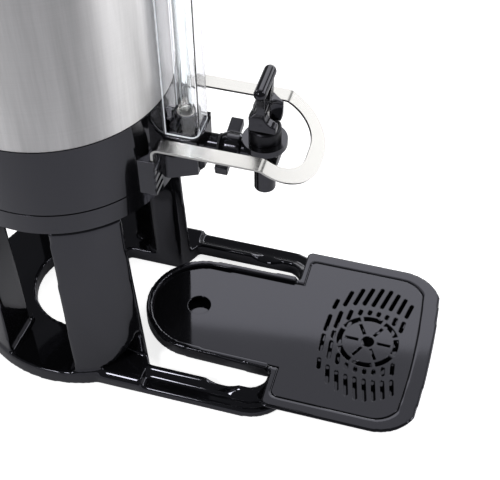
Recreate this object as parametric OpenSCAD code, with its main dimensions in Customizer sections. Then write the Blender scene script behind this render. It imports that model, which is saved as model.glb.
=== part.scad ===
// Vacuum coffee urn on a stand: brew-through lid, carrying bail, sight gauge,
// spring-closed tap with a guard of bent strip, and a pull-out drip tray.
// Lengths are in millimetres, +Z is up, and the tap looks along -Y.

/* [Urn body] */
// Outer radius of the steel shell
shell_r = 105; // [98:1:116]
// Thickness of the steel sheet
sheet_t = 0.8; // [0.6:0.1:1.4]
// Height of the steel that shows between the collars
shell_h = 215; // [170:5:320]
// Gap between the shell and the inner vessel
vacuum_gap = 7; // [5:0.5:10]
// Radius of the mouth of the inner vessel
mouth_r = 66; // [56:1:70]

/* [Collars] */
// Height of the black collar under the shell
collar_h = 71; // [66:1:85]
// Wall of the collars
collar_t = 3.6; // [2.5:0.1:4.5]
// Height of the shoulder ring above the shell
shoulder_h = 38; // [34:1:50]

/* [Stand] */
// Height from the counter to the underside of the stand's ring
leg_h = 206.5; // [180:0.5:250]
// Height of the stand's ring
ring_h = 23.5; // [18:0.5:30]
// Wall of the stand
stand_t = 3.5; // [2.5:0.1:4.5]
// Radius of the foot at the counter
foot_r = 114.3; // [110:0.1:122]
// Height of the foot
foot_h = 17; // [14:0.5:22]
// Radius of the hole in the middle of the foot
foot_hole_r = 55; // [50:0.5:58]
// Half width of the open channel between the front legs
channel_x = 55; // [50:0.5:58]
// Angle from the side of the urn at which a front leg starts
front_leg_start = 11.5; // [8:0.5:15]
// Angle from the side of the urn at which a rear leg starts
rear_leg_start = 18; // [15:0.5:24]
// Half width over the arms at the counter
arm_x = 104; // [100:0.5:108]
// Half width between the arms
arm_in_x = 79; // [76:0.5:82]
// Reach of the straight part of the arms in front of the urn's axis
arm_reach = 190; // [180:1:200]

/* [Drip tray] */
// Reach of the tray in front of the urn's axis
tray_reach = 353; // [335:1:380]
// Where the wide head of the tray starts, in front of the urn's axis
head_y = 207; // [203:0.5:209]
// Half width of the head
head_x = 98; // [92:0.5:104]
// Half width of the tongue where it meets the head
tongue_x = 59; // [56:0.5:61]
// Where the round end of the tongue starts, in front of the urn's axis
tongue_y = 122; // [118:0.5:128]
// Height of the tray's flange above the counter
tray_z = 20; // [19:0.5:24]
// Wall of the tray
tray_t = 2.4; // [1.8:0.1:3]
// Height of the rim round the tongue above the flange
rim_h = 4; // [2:0.5:6]
// Width of the rim round the tongue
rim_w = 6.5; // [5:0.5:8]
// Width of the flange round the head
flange_w = 13; // [9:0.5:16]
// Depth of the tray's bowl below the flange
bowl_d = 12; // [8:0.5:14]
// Thickness of the cover plate
cover_t = 2.5; // [2:0.1:3]
// Radius of the finger hole in the cover
finger_r = 11.3; // [9:0.1:14]
// Radius of the ring of slots under the tap
rosette_r = 31; // [28:0.5:31.5]
// Pitch of the rows of slots
slot_pitch = 8.85; // [8:0.05:9.2]

/* [Tap] */
// Height of the tap's shank above the underside of the lower collar
shank_h = 18; // [16:0.5:24]
// Distance of the spout in front of the urn's axis
spout_y = 186; // [180:0.5:196]
// Outer radius of the spout
spout_r = 9.3; // [8.5:0.1:11]
// Bore radius of the spout
spout_bore = 6.5; // [5:0.1:7.5]
// Radius of the rim of the tap's cup
cup_r = 19; // [18:0.5:22]
// Outer radius of the threaded shank
shank_r = 6.5; // [6:0.1:7.5]
// Radius of the bonnet
bonnet_r = 13.7; // [13:0.1:15]
// Radius of the stem
stem_r = 4; // [3.5:0.1:4.5]
// Radius of the handle's pin
pin_r = 1.6; // [1.2:0.1:2]
// Lift of the stem at full tilt
stem_lift = 4; // [3:0.5:4.5]
// Length of the handle's cross bar
bar_l = 40; // [34:1:44]

/* [Sight gauge] */
// Outer radius of the glass tube
tube_r = 6; // [5:0.1:7]
// Half width of the clear shield
shield_x = 17; // [15:0.5:20]
// Depth of the shield in front of the shell
shield_d = 28; // [26:0.5:32]
// Wall of the shield
shield_t = 2.2; // [1.5:0.1:3]
// Height of the gauge's seat above the underside of the lower collar
gauge_h = 33.5; // [32:0.5:36]

/* [Guard] */
// Width of the guard's flat strip
strap_w = 14; // [11:0.5:16]
// Thickness of the guard's strip
strap_t = 2; // [1.2:0.1:2.5]
// Half distance between the middles of the guard's arms
guard_x = 43.5; // [42:0.5:47]
// Height of the guard's upper face above the underside of the lower collar
guard_h = 47; // [45:0.5:49]

/* [Fits] */
// Seam between two plastic covers
seam = 0.4; // [0.2:0.1:0.6]
// Gap round a part that slides or lifts out
slip = 0.4; // [0.3:0.1:0.6]
// Radial clearance of a shaft in its bore
run = 0.06; // [0.03:0.01:0.1]

/* [Hidden] */
$fn = 96;
eps = 0.01;
cut = 400;
ring_z = leg_h;                                  // underside of the stand's ring
collar_z = ring_z + ring_h;                      // underside of the lower collar
shell_z = collar_z + collar_h;                   // lower edge of the steel that shows
shell_top = shell_z + shell_h;                   // top of the steel shell
skin_r = shell_r + 0.6;                          // outside of the black collars
bore_r = skin_r - collar_t;                      // inside of the lower collar
shell_neck_r = bore_r - seam;                    // shell where it sits in the collar
shell_base = shell_z - 18;                       // underside of the shell
vessel_r = shell_r - sheet_t - vacuum_gap;       // outside of the inner vessel
vessel_z = shell_base + sheet_t + vacuum_gap;    // underside of the inner vessel
neck_r = mouth_r + sheet_t;                      // outside of the vessel's neck
lip_z = shell_top + 10;                          // top of the vessel's lip
well_r = neck_r + 7;                             // inside of the shoulder ring
axis_y = (tray_reach - foot_r) / 2;              // urn's axis behind the footprint's middle
foot_lift = 0.6;                                 // how far the rubber feet stand out
foot_taper = 1.2;                                // draft of the foot's wall
leg_r = foot_r - 2.8;                            // legs' cone at the counter
ridge_w = 4;                                     // flat top of an arm's inner edge
arm_shelf_z = 9.5;                               // height of an arm's outer shelf
arm_turn_r = 16;                                 // turn at the front of an arm
arm_turn_x = arm_in_x - arm_turn_r;
leg_front_y = 91;                                // front of the foot's waist
leg_core_y = 52;                                 // where a front leg's inner face starts
leg_front = [channel_x + 5, -82.5];              // point on a front leg's front face
leg_back = [channel_x + 21, -leg_core_y + 28];   // rear corner of a front leg
leg_draft = 5;                                   // how much the channel widens to the top
foot_slot_y = 22;                                // back of the channel in the foot
heel_at = [104.6, -34];                          // where the round heel starts
heel_turn = -124;                                // and the way it runs
heel_wall_turn = 9.8;                            // wall that the heel leaves standing
heel_wall_x = 56.4;
rear_in_x = 60;                                  // inner face of the rear legs
rear_leg_y = [39, 86];                           // inner face of a rear leg, front to back
heel_r = 60;                                     // round lower corner of a front leg
screw_r = 2;                                     // shank of the plastic screws
screw_head_r = 4;
screw_head_h = 2.6;
post_screw_r = 91;                               // circle of the screws over the legs
post_screws = [32, 148, 212, 328];               // and their angles
collar_screws_at = [10, 170, 190, 350];

flange_t = 3;                                    // tray's flange
head_front_w = flange_w + 4;                     // flange at the front of the head
head_back_w = 7;                                 // flange at the back of the head
bowl_y = arm_reach + arm_turn_r + arm_x - arm_in_x + 3;
rosette_y = spout_y + 104;                       // slots lie where the cup stands
row_r = 235;                                     // radius of the bowed rows of slots
slot_w = 3.6;
// Ends of a row's inner and outer slot, measured from the tray's middle, row by row
slot_ends = [[2, 23, 31, 44], [8, 30, 37, 58], [21, 34, 41, 64], [30, 37, 43, 67], [32.5, 38.5, 43.5, 69],
             [32.5, 38.5, 43.5, 69], [31, 37, 43, 66], [26, 36, 41, 62], [19, 33, 38, 56]];
row_y = rosette_y - 43;                          // first row

shank_z = collar_z + shank_h;                    // axis of the tap's shank
shank_y = shell_r + 31;                          // front face of the tap housing
nose_y = shank_y + 10;                           // end of the round nose round the shank
tube_y = shell_r + 14;                           // sight tube
housing_top = collar_z + gauge_h;                // top of the tap housing under the gauge
housing_lip = 2.5;                               // rim in front of the gauge shield
shield_round = 7;                                // front corners of the shield
seat_z = housing_top;                            // fitting under the sight tube
tube_z = seat_z + 3.1;
bracket_z = shell_top - 16;                      // underside of the gauge bracket
bracket_h = 12;
tube_top = bracket_z + bracket_h + 6;
pipe_r = 8;                                      // outlet pipe
pipe_bore = 6.5;
elbow_r = 20;
pipe_y = shell_r - 33;                           // outlet in the vessel's floor
nut_y = nose_y + 2;                              // back of the wing nut
tail_y = nut_y + 9;                              // back of the tap's tail
nut_l = 18;
nut_turn = 12;                                   // how the wings happen to stand
spout_z = shank_z - 38.5;                        // mouth of the spout
valve_z = shank_z - 8.5;                         // valve seat
chamber_r = 10.9;
cup_z = shank_z + 17;                            // top of the cup
bonnet_top = cup_z + 10 + stem_lift;             // the stem's washer rises under it
pin_z = bonnet_top + 12;                         // handle's pivot
skirt_z = pin_z - 9;                             // underside of the handle's cheeks
bar_z = pin_z + 32.5;
handle_x = 13.3;                                 // half width of the handle's cheeks
post_t = 7;
bar_r = 5.3;
cheek_x = stem_r + 0.4;                          // half width of the handle's fork
spring_r = 6.5;
wire_r = 0.6;
collar_ring_z = valve_z + 13;                    // washer on the stem
guard_top = collar_z + guard_h;                  // upper face of the guard's arms
fold_y = spout_y + 10;                           // fold between the arms and the loop
fold_a = 33;                                     // and how far the loop hangs down
loop_r = 44;                                     // round corners of the loop
loop_x = guard_x + strap_w / 2 - loop_r;
loop_u = 2.5;                                    // straight part of the loop's sides
hook_r = 7;                                      // bend at the back of an arm
hook_y = shell_r + 5;                            // where that bend starts
tab_h = 14;                                      // tab below the bend
bracket_x = strap_w + 3;
bracket_y = hook_y - hook_r + strap_t + 2;       // front face of the brackets
tongue_nose = tongue_x - 2;                      // radius of the tongue's round end

bail_z = shell_top + 25;                         // bail's pivot
bail_r = [shell_r - 7, shell_r + 1];
bail_h = 12;
rebate_r = bail_r[0] - 2.5;
rebate_z = bail_z - bail_h / 2 - 2.5;
bail_pin_r = 3;

// rubber feet: place, radius and top of the boss over each
foot_pads = [[85, 3, 7, foot_h - 2], [30, 83, 7, foot_h - 2], [89, -arm_reach + 18, 5, arm_shelf_z - 1]];

// ---- shared shapes -------------------------------------------------------

module at_axis() translate([0, axis_y, 0]) children();
module both() { children(); mirror([1, 0, 0]) children(); }
// Draws along -Y from y, with the child's +Y up
module forward(y, z, x = 0) translate([x, -y, z]) rotate([90, 0, 0]) children();
// Draws along +X from x
module sideways(x, y, z) translate([x, y, z]) rotate([0, 90, 0]) children();

module tube(r_out, r_in, h) difference() {
  cylinder(r = r_out, h = h);
  translate([0, 0, -1]) cylinder(r = r_in, h = h + 2);
}

// Rectangle from corner a to corner b with a radius at each end in y
module soft_rect(a, b, r_low, r_high) {
  translate([a[0] + r_low, a[1]]) square([b[0] - a[0] - 2 * r_low, r_low + eps]);
  for (x = [a[0] + r_low, b[0] - r_low]) translate([x, a[1] + r_low]) circle(r = r_low);
  translate([a[0], a[1] + r_low]) square([b[0] - a[0], b[1] - a[1] - r_low - r_high]);
  translate([a[0] + r_high, b[1] - r_high - eps]) square([b[0] - a[0] - 2 * r_high, r_high + eps]);
  for (x = [a[0] + r_high, b[0] - r_high]) translate([x, b[1] - r_high]) circle(r = r_high);
}

// Screw that points up from z, its head below
module screw(h) {
  cylinder(r = screw_r, h = h, $fn = 24);
  translate([0, 0, -screw_head_h]) cylinder(r = screw_head_r, h = screw_head_h, $fn = 32);
}

module around(r, angles) for (a = angles) rotate(a) translate([r, 0, 0]) children();

// ---- stand ---------------------------------------------------------------

// Plan of a front leg on the +X side, walls moved in by t; the channel and the
// leaning front face are cut after it
module front_leg_plan(t) polygon([
  [channel_x - 5 + 0.83 * t, 8.4 - leg_core_y - 0.55 * t - 19.8],
  [leg_back[0] + 0.5 * t, leg_back[1] - 1.04 * t],
  [140 * cos(front_leg_start), -140 * sin(front_leg_start) - t], [140, -120], [channel_x - 5, -120]]);

module rear_leg_plan(t) polygon([
  [rear_in_x + t, rear_leg_y[0] + t], [rear_in_x + t, rear_leg_y[1] - t],
  [140, rear_leg_y[1] - t], [140 * cos(rear_leg_start), 140 * sin(rear_leg_start) + t]]);

// Legs of the +X side as solids whose skin is moved in by t
module legs_mass(t) intersection() {
  cylinder(r1 = leg_r - t, r2 = skin_r - 0.8 - t, h = leg_h - t);
  translate([0, 0, foot_h / 2]) linear_extrude(leg_h) union() {
    front_leg_plan(t);
    rear_leg_plan(t);
  }
}

// Round lower corner of a front leg, cut away down to the wall along the channel
module heel_cut(t) difference() {
  translate([heel_at[0], heel_at[1], 0]) rotate(heel_turn) difference() {
    translate([0, -60, foot_h - t - 1]) cube([120, 120, leg_h]);
    translate([0, -61, foot_h + heel_r]) rotate([-90, 0, 0]) cylinder(r = heel_r - t, h = 122);
    translate([-1, -61, foot_h + heel_r]) cube([heel_r - t + 1, 122, leg_h]);
  }
  if (t == 0) rotate(heel_wall_turn) translate([-cut, -cut, 0]) cube([cut + heel_wall_x, 2 * cut, leg_h + 1]);
}

module foot_mass(t) difference() {
  translate([0, 0, foot_lift - t]) cylinder(r1 = foot_r - t, r2 = foot_r - foot_taper - t, h = foot_h - foot_lift);
  cylinder(r = foot_hole_r + t, h = cut, center = true);
}

// Open channel between the front legs, a little wider at the top
module channel_cut(t) translate([0, -foot_slot_y + t, 0]) rotate([90, 0, 0]) linear_extrude(cut) polygon([
  [-channel_x - t, -1], [channel_x + t, -1],
  [channel_x + leg_draft + t, leg_h + 1], [-channel_x - leg_draft - t, leg_h + 1]]);

// Leaning front face of a front leg and of the foot between leg and arm
module front_cut(t) intersection() {
  translate([leg_front[0], leg_front[1], foot_h]) rotate(-28.4) rotate([-2.2, 0, 0])
    translate([-60, -60 + t, -40]) cube([110, 60, leg_h + 60]);
  translate([0, -cut, -1]) cube([arm_in_x + t, cut, leg_h + 2]);
}

// Section of an arm: a high inner edge, a slope and a low outer shelf
module arm_section(x, t) polygon([
  [x + t, foot_lift - t], [x + t, foot_h - t], [x + ridge_w, foot_h - t],
  [x + ridge_w + 7 - t / 2, arm_shelf_z - t], [x + arm_x - arm_in_x - 1 - t, arm_shelf_z - t],
  [x + arm_x - arm_in_x - t, foot_lift - t]]);

module arm_mass(t) {
  translate([0, -arm_reach, 0]) rotate([90, 0, 180]) mirror([1, 0, 0]) linear_extrude(arm_reach - 60)
    arm_section(arm_in_x, t);
  translate([arm_turn_x, -arm_reach, 0]) rotate(-90) rotate_extrude(angle = 90) arm_section(arm_turn_r, t);
  // the hollow stops at the turn
  if (t == 0) translate([arm_turn_x, -arm_reach, 0]) rotate([90, 0, -90])
    linear_extrude(arm_turn_x - tongue_x - 1.5) arm_section(arm_turn_r, t);
}

// Fills the waist between the round foot and the arm
module waist_mass(t) difference() {
  translate([channel_x + 5, -leg_front_y + t, foot_lift - t])
    cube([arm_x - channel_x - 5 - t, leg_front_y - 48 - t, foot_h - foot_lift]);
  translate([0, -leg_front_y, 0]) rotate([90, 0, 180]) mirror([1, 0, 0]) linear_extrude(cut, center = true)
    polygon([[arm_x - 5 - t, cut], [arm_x - 5 - t, foot_h - t], [arm_x - t, arm_shelf_z + 3 - t],
             [cut, arm_shelf_z + 3 - t], [cut, cut]]);
}

module pad_boss(grow, z0, h) both() for (p = foot_pads) translate([p[0], p[1], z0])
  cylinder(r = p[2] + grow, h = h == 0 ? p[3] - z0 : h, $fn = 48);

module stand_shell(t) {
  difference() {
    union() {
      foot_mass(t);
      both() {
        difference() {
          legs_mass(t);
          heel_cut(t);
        }
        waist_mass(t);
      }
    }
    channel_cut(t);
    both() front_cut(t);
  }
  both() difference() {
    arm_mass(t);
    // finger scoop over each arm
    sideways(arm_in_x - 10, -arm_reach + 24, foot_h + 17 - t) cylinder(r = 23 - t, h = 60);
  }
}

module stand() {
  at_axis() color([0.09, 0.09, 0.1]) difference() {
    union() {
      difference() {
        stand_shell(0);
        translate([0, 0, -eps]) stand_shell(stand_t);
      }
      pad_boss(2, foot_lift, 0);
    }
    translate([0, 0, -1]) pad_boss(0.1, 0, 4);
    around(post_screw_r, post_screws) cylinder(r = screw_r + run, h = cut, $fn = 24);
  }
}

module stand_feet() at_axis() color([0.05, 0.05, 0.05]) pad_boss(0, 0, 3);

module stand_ring() at_axis() color([0.1, 0.1, 0.11]) translate([0, 0, ring_z]) difference() {
  rotate_extrude() polygon([
    [bore_r - 14, 0], [skin_r - 0.3, 0], [skin_r - 0.3, ring_h], [bore_r - 22, ring_h],
    [bore_r - 22, ring_h - stand_t], [bore_r, ring_h - stand_t], [bore_r, stand_t], [bore_r - 14, stand_t]]);
  around(post_screw_r, post_screws) cylinder(r = screw_r + run, h = 2 * stand_t, center = true, $fn = 24);
  around(post_screw_r, collar_screws_at) translate([0, 0, ring_h])
    cylinder(r = screw_r + run, h = 3 * stand_t, center = true, $fn = 24);
}

// Screws from the tops of the legs into the ring
module ring_screws() at_axis() color([0.6, 0.6, 0.6])
  translate([0, 0, ring_z - stand_t - 2 * eps]) around(post_screw_r, post_screws) screw(2 * stand_t);

// ---- lower collar and vessel ----------------------------------------------

module bottom_collar() at_axis() color([0.12, 0.12, 0.13]) difference() {
  rotate_extrude() polygon([
    [60, collar_z], [skin_r, collar_z], [skin_r, shell_z - seam], [bore_r, shell_z - seam],
    [bore_r, shell_base], [bore_r - 10, shell_base], [bore_r - 10, shell_base - 3],
    [bore_r, shell_base - 12], [bore_r, collar_z + 3], [60, collar_z + 3]]);
  forward(0, shank_z) cylinder(r = pipe_r + seam, h = cut);
  around(post_screw_r, collar_screws_at) cylinder(r = screw_r + run, h = cut, $fn = 24);
  housing_screw_axes() cylinder(r = screw_r + run, h = cut, $fn = 24);
}

// Screws from the stand's ring into the collar's floor
module collar_screws() at_axis() color([0.6, 0.6, 0.6])
  translate([0, 0, collar_z - stand_t]) around(post_screw_r, collar_screws_at) screw(stand_t + 2.6);

module outer_shell() at_axis() color([0.72, 0.71, 0.69]) difference() {
  rotate_extrude() polygon([
    [0, shell_base], [shell_neck_r, shell_base], [shell_neck_r, shell_z], [shell_r, shell_z],
    [shell_r, shell_top], [neck_r + run, shell_top], [neck_r + run, shell_top - sheet_t],
    [shell_r - sheet_t, shell_top - sheet_t], [shell_r - sheet_t, shell_z + sheet_t],
    [shell_neck_r - sheet_t, shell_z + sheet_t], [shell_neck_r - sheet_t, shell_base + sheet_t],
    [0, shell_base + sheet_t]]);
  translate([0, -pipe_y, 0]) cylinder(r = pipe_r + run, h = cut);
}

module inner_vessel() at_axis() color([0.75, 0.75, 0.75]) difference() {
  rotate_extrude() polygon([
    [0, vessel_z], [vessel_r - 8, vessel_z], [vessel_r, vessel_z + 8],
    [vessel_r, shell_top - 28], [neck_r, shell_top - 12], [neck_r, lip_z - sheet_t],
    [neck_r + 4, lip_z - sheet_t], [neck_r + 4, lip_z], [mouth_r, lip_z], [mouth_r, shell_top - 12.4],
    [vessel_r - sheet_t, shell_top - 28.4], [vessel_r - sheet_t, vessel_z + 8.4],
    [vessel_r - 8.4, vessel_z + sheet_t], [0, vessel_z + sheet_t]]);
  translate([0, -pipe_y, vessel_z - 1]) cylinder(r = pipe_r + run, h = 4);
}

// From the vessel's floor down and forward into the tap housing
module outlet_pipe() at_axis() color([0.7, 0.7, 0.7]) {
  translate([0, -pipe_y, shank_z + elbow_r]) tube(pipe_r, pipe_bore, vessel_z + sheet_t - shank_z - elbow_r);
  translate([0, -pipe_y - elbow_r, shank_z + elbow_r]) rotate([90, 90, 90])
    rotate_extrude(angle = 90) translate([elbow_r, 0]) difference() {
      circle(r = pipe_r);
      circle(r = pipe_bore);
    }
  forward(pipe_y + elbow_r, shank_z) tube(pipe_r, pipe_bore, shell_r + 6 - pipe_y - elbow_r);
}

module outlet_seal() at_axis() color([0.3, 0.3, 0.3])
  forward(shell_r + 2, shank_z) tube(pipe_r + 2, pipe_r + run, 4);

// ---- shoulder, bail and lid -------------------------------------------------

module shoulder_ring() at_axis() color([0.12, 0.12, 0.13]) difference() {
  union() {
    rotate_extrude() polygon([
      [bore_r, shell_top], [skin_r, shell_top], [skin_r, rebate_z], [rebate_r, rebate_z],
      [rebate_r, shell_top + shoulder_h - 2], [rebate_r - 2, shell_top + shoulder_h],
      [well_r, shell_top + shoulder_h], [well_r, shell_top], [well_r + 3, shell_top],
      [well_r + 3, shell_top + shoulder_h - 3], [rebate_r - 3.5, shell_top + shoulder_h - 3],
      [rebate_r - 3.5, rebate_z - 3.5], [bore_r, rebate_z - 3.5]]);
    both() sideways(well_r + 2, 0, bail_z) cylinder(r = bail_pin_r + 3.5, h = rebate_r - well_r - 3);
  }
  both() sideways(well_r + 6, 0, bail_z) cylinder(r = bail_pin_r + run, h = 60, $fn = 48);
}

module mouth_gasket() at_axis() color([0.25, 0.25, 0.25])
  translate([0, 0, shell_top]) tube(well_r - run, neck_r + run, lip_z - sheet_t - shell_top - 0.2);

// Lies back round the shoulder and swings over the lid
module bail() at_axis() color([0.1, 0.1, 0.11]) difference() {
  union() {
    translate([0, 0, bail_z - bail_h / 2]) rotate_extrude(angle = 180)
      translate([bail_r[0], 0]) square([bail_r[1] - bail_r[0], bail_h]);
    both() sideways(bail_r[0], 0, bail_z) cylinder(r = bail_h / 2, h = bail_r[1] - bail_r[0]);
  }
  both() sideways(bail_r[0] - 20, 0, bail_z) cylinder(r = bail_pin_r + run, h = 60, $fn = 48);
}

module bail_pins() at_axis() color([0.7, 0.7, 0.7]) both() {
  sideways(well_r + 7, 0, bail_z) cylinder(r = bail_pin_r, h = bail_r[1] + 0.3 - well_r - 7, $fn = 48);
  sideways(bail_r[1] + 0.3, 0, bail_z) cylinder(r = bail_pin_r + 2, h = 1.8, $fn = 48);
}

// A hollow puck whose top is a shallow funnel round the brew hole
module lid() at_axis() color([0.13, 0.13, 0.14]) translate([0, 0, lip_z + 2]) {
  rotate_extrude() polygon([
    [mouth_r - 3.5, -14], [mouth_r - 1, -14], [mouth_r - 1, 0], [well_r - 0.8, 0],
    [well_r - 0.8, shoulder_h - 10], [well_r - 2.8, shoulder_h - 8], [well_r - 8, shoulder_h - 8],
    [11, shoulder_h - 20], [11, 0], [14, 0], [14, shoulder_h - 22.6],
    [well_r - 8.5, shoulder_h - 10.6], [well_r - 3.4, shoulder_h - 10.6], [well_r - 3.4, 2.6],
    [mouth_r - 3.5, 2.6]]);
  // finger tabs
  for (s = [-1, 1]) translate([s * 52 - 12, -5, shoulder_h - 14]) cube([24, 10, 12]);
}

module lid_seal() at_axis() color([0.6, 0.6, 0.6])
  translate([0, 0, lip_z + 0.1]) tube(neck_r + 3.5, mouth_r - 0.9, 1.8);

module fill_tube() at_axis() color([0.16, 0.16, 0.17]) {
  translate([0, 0, vessel_z + 12]) tube(10.9, 9.4, lip_z + 8 - vessel_z - 12);
  translate([0, 0, lip_z - 2]) tube(13.4, 10.8, 3.9);
}

// ---- tap housing and sight gauge ---------------------------------------------

module housing_screw_axes() for (x = [-13, 13]) forward(bore_r - 3.6, collar_z + 8, x) children();

module tap_housing() at_axis() color([0.1, 0.1, 0.11]) difference() {
  union() {
    translate([-20, -shell_r - 28, shank_z - 32]) cube([40, 60, housing_top - shank_z + 32]);
    translate([0, 0, shank_z - 30]) linear_extrude(housing_top + housing_lip - shank_z + 30)
      polygon([[-shield_x, -shell_r - 8], [-shield_x, -shank_y + 6], [-shield_x + 6, -shank_y],
               [shield_x - 6, -shank_y], [shield_x, -shank_y + 6], [shield_x, -shell_r - 8]]);
    forward(shank_y - 4, shank_z) cylinder(r = 8.5, h = nose_y - shank_y + 4);
  }
  cylinder(r = skin_r + 0.02, h = cut);
  // the gauge shield and tube stand in this well
  translate([-cut, -shell_r - shield_d - 0.6, housing_top]) cube([2 * cut, cut, cut]);
  // slanted underside
  translate([-cut, -shell_r - 1, shank_z - 32]) rotate([-22, 0, 0]) translate([0, -cut, -cut]) cube([2 * cut, 2 * cut, cut]);
  forward(shell_r + 16, shank_z) cylinder(r = shank_r + run, h = cut);
  forward(0, shank_z) cylinder(r = 5, h = shell_r + 20);
  forward(0, shank_z) cylinder(r = pipe_r + 2 + run, h = shell_r + 6 + seam);
  translate([0, -tube_y, shank_z]) cylinder(r = 4, h = cut);
  housing_screw_axes() cylinder(r = screw_r + run, h = 22, $fn = 24);
}

module housing_screws() at_axis() color([0.6, 0.6, 0.6]) housing_screw_axes() screw(15);

module tube_seat() at_axis() color([0.55, 0.56, 0.6]) translate([0, -tube_y, seat_z])
  rotate_extrude() polygon([
    [4, 0], [7.4, 0], [7.4, 1], [tube_r + 3.4, 4], [tube_r + 4.4, 15], [tube_r + 4.4, 17], [tube_r + 2.2, 17],
    [tube_r + 2.2, 3], [4, 3]]);

module tube_seal() at_axis() color([0.4, 0.4, 0.42]) translate([0, -tube_y, seat_z + 3.1])
  tube(tube_r + 2.15, tube_r + run, 13);

module sight_tube() at_axis() color([0.8, 0.9, 0.95, 0.4]) translate([0, -tube_y, tube_z])
  tube(tube_r, tube_r - 1.2, tube_top - tube_z);

module gauge_bracket() at_axis() color([0.12, 0.12, 0.13]) difference() {
  translate([0, 0, bracket_z]) linear_extrude(bracket_h) union() {
    translate([-shield_x, -shell_r - shield_d]) square([2 * shield_x, 40]);
    translate([-shield_x + 6, -shell_r - shield_d - 2]) square([2 * shield_x - 12, 4]);
  }
  cylinder(r = shell_r + 0.02, h = 2 * cut);
  translate([0, -tube_y, 0]) cylinder(r = tube_r + 0.3, h = 2 * cut);
}

module gauge_cap() at_axis() color([0.1, 0.1, 0.11]) translate([0, -tube_y, bracket_z + bracket_h + 0.3])
  difference() {
    union() {
      cylinder(r = 9.5, h = 9);
      translate([0, 0, 9]) cylinder(r1 = 9.5, r2 = 8, h = 1.5);
    }
    translate([0, 0, -1]) cylinder(r = tube_r + 0.35, h = 7.3);
  }

// Plan of the shield, open at the back, with round front corners
module shield_mass(t, h) {
  translate([-shield_x + t, -shell_r - shield_d + shield_round, 0]) cube([2 * (shield_x - t), 40 + t, h]);
  translate([-shield_x + shield_round, -shell_r - shield_d + t, 0]) cube([2 * (shield_x - shield_round), 20, h]);
  for (x = [-1, 1]) translate([x * (shield_x - shield_round), -shell_r - shield_d + shield_round, 0])
    cylinder(r = shield_round - t, h = h);
}

module gauge_shield() at_axis() color([0.85, 0.9, 0.95, 0.35]) translate([0, 0, housing_top + seam]) difference() {
  shield_mass(0, bracket_z - housing_top - 2 * seam);
  translate([0, 0, -1]) shield_mass(shield_t, cut);
  translate([0, 0, -1]) cylinder(r = skin_r + 0.3, h = cut);
}

// ---- tap -------------------------------------------------------------------

module tap_shank() at_axis() color([0.1, 0.1, 0.11])
  forward(shell_r + 20.4, shank_z) tube(shank_r, 4, tail_y - 0.4 - shell_r - 20.4);

module shank_washer() at_axis() color([0.35, 0.35, 0.35])
  forward(nose_y + 0.1, shank_z) tube(9.5, shank_r + run, 1.6);

module wing_nut() at_axis() color([0.1, 0.1, 0.11]) forward(nut_y, shank_z) difference() {
  union() {
    rotate_extrude() polygon([[0, 0], [10, 0], [12.5, 5], [12.5, nut_l - 2], [11, nut_l], [0, nut_l]]);
    rotate(nut_turn) for (s = [0, 180]) rotate(s) translate([9, -4.25, 1.5]) cube([18, 8.5, 11]);
  }
  translate([0, 0, -1]) cylinder(r = shank_r + run, h = nut_l + 2);
  translate([0, 0, 7]) cylinder(r = 10.2, h = 7.5);
  translate([0, 0, 7]) cylinder(r = shank_r + 1.4, h = nut_l);
}

module tap_body() at_axis() color([0.11, 0.11, 0.12]) difference() {
  union() {
    translate([0, -spout_y, 0]) rotate_extrude() polygon([
      [0, spout_z], [spout_r, spout_z], [spout_r, valve_z - 6], [spout_r + 2, valve_z - 3],
      [cup_r - 3, cup_z - 10], [cup_r, cup_z - 6], [cup_r, cup_z], [0, cup_z]]);
    forward(tail_y + 3, shank_z) cylinder(r = shank_r + 1, h = spout_y - tail_y - 12);
    forward(tail_y, shank_z) cylinder(r = 9.8, h = 3);
  }
  translate([0, -spout_y, spout_z - 1]) cylinder(r = spout_bore, h = cut);
  translate([0, -spout_y, valve_z]) cylinder(r = chamber_r, h = cut);
  forward(tail_y - 1, shank_z) cylinder(r = 4, h = spout_y - tail_y);
}

module tap_bonnet() at_axis() color([0.1, 0.1, 0.11]) translate([0, -spout_y, 0]) rotate_extrude() polygon([
  [8.5, cup_z - 6], [chamber_r - run, cup_z - 6], [chamber_r - run, cup_z], [bonnet_r, cup_z],
  [bonnet_r, bonnet_top - 1.5], [bonnet_r - 1.5, bonnet_top], [stem_r + run, bonnet_top],
  [stem_r + run, bonnet_top - 3], [8.5, bonnet_top - 3]]);

module seat_cup() at_axis() color([0.75, 0.73, 0.7]) translate([0, -spout_y, valve_z + 0.1]) rotate_extrude() polygon([
  [0, 0], [7.5, 0], [9, 2], [9, 6], [6, 10.5], [stem_r + run, 10.5], [stem_r + run, 4.5], [0, 4.5]]);

module tap_stem() at_axis() color([0.7, 0.7, 0.7]) translate([0, -spout_y, 0]) difference() {
  union() {
    translate([0, 0, valve_z + 4.7]) cylinder(r = stem_r, h = pin_z + 5 - valve_z - 4.7);
    translate([0, 0, collar_ring_z]) cylinder(r = 8, h = 1.5);
  }
  sideways(-20, 0, pin_z) cylinder(r = pin_r + 0.02, h = 40, $fn = 32);
}

// Helix swept as one closed skin; both ends are flat discs
spring_z = [collar_ring_z + 1.5 + wire_r + 0.1, bonnet_top - 3 - wire_r - 0.1];
spring_turns = 6;
spring_steps = 16;
spring_sides = 6;
function helix_at(i) = let (f = i / (spring_turns * spring_steps), a = 360 * i / spring_steps)
  [spring_r * cos(a), spring_r * sin(a), spring_z[0] + f * (spring_z[1] - spring_z[0])];
function helix_ring(i) = let (a = 360 * i / spring_steps, p = helix_at(i))
  [for (k = [0 : spring_sides - 1]) let (b = 360 * k / spring_sides)
    p + wire_r * [cos(b) * cos(a), cos(b) * sin(a), sin(b)]];

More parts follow.
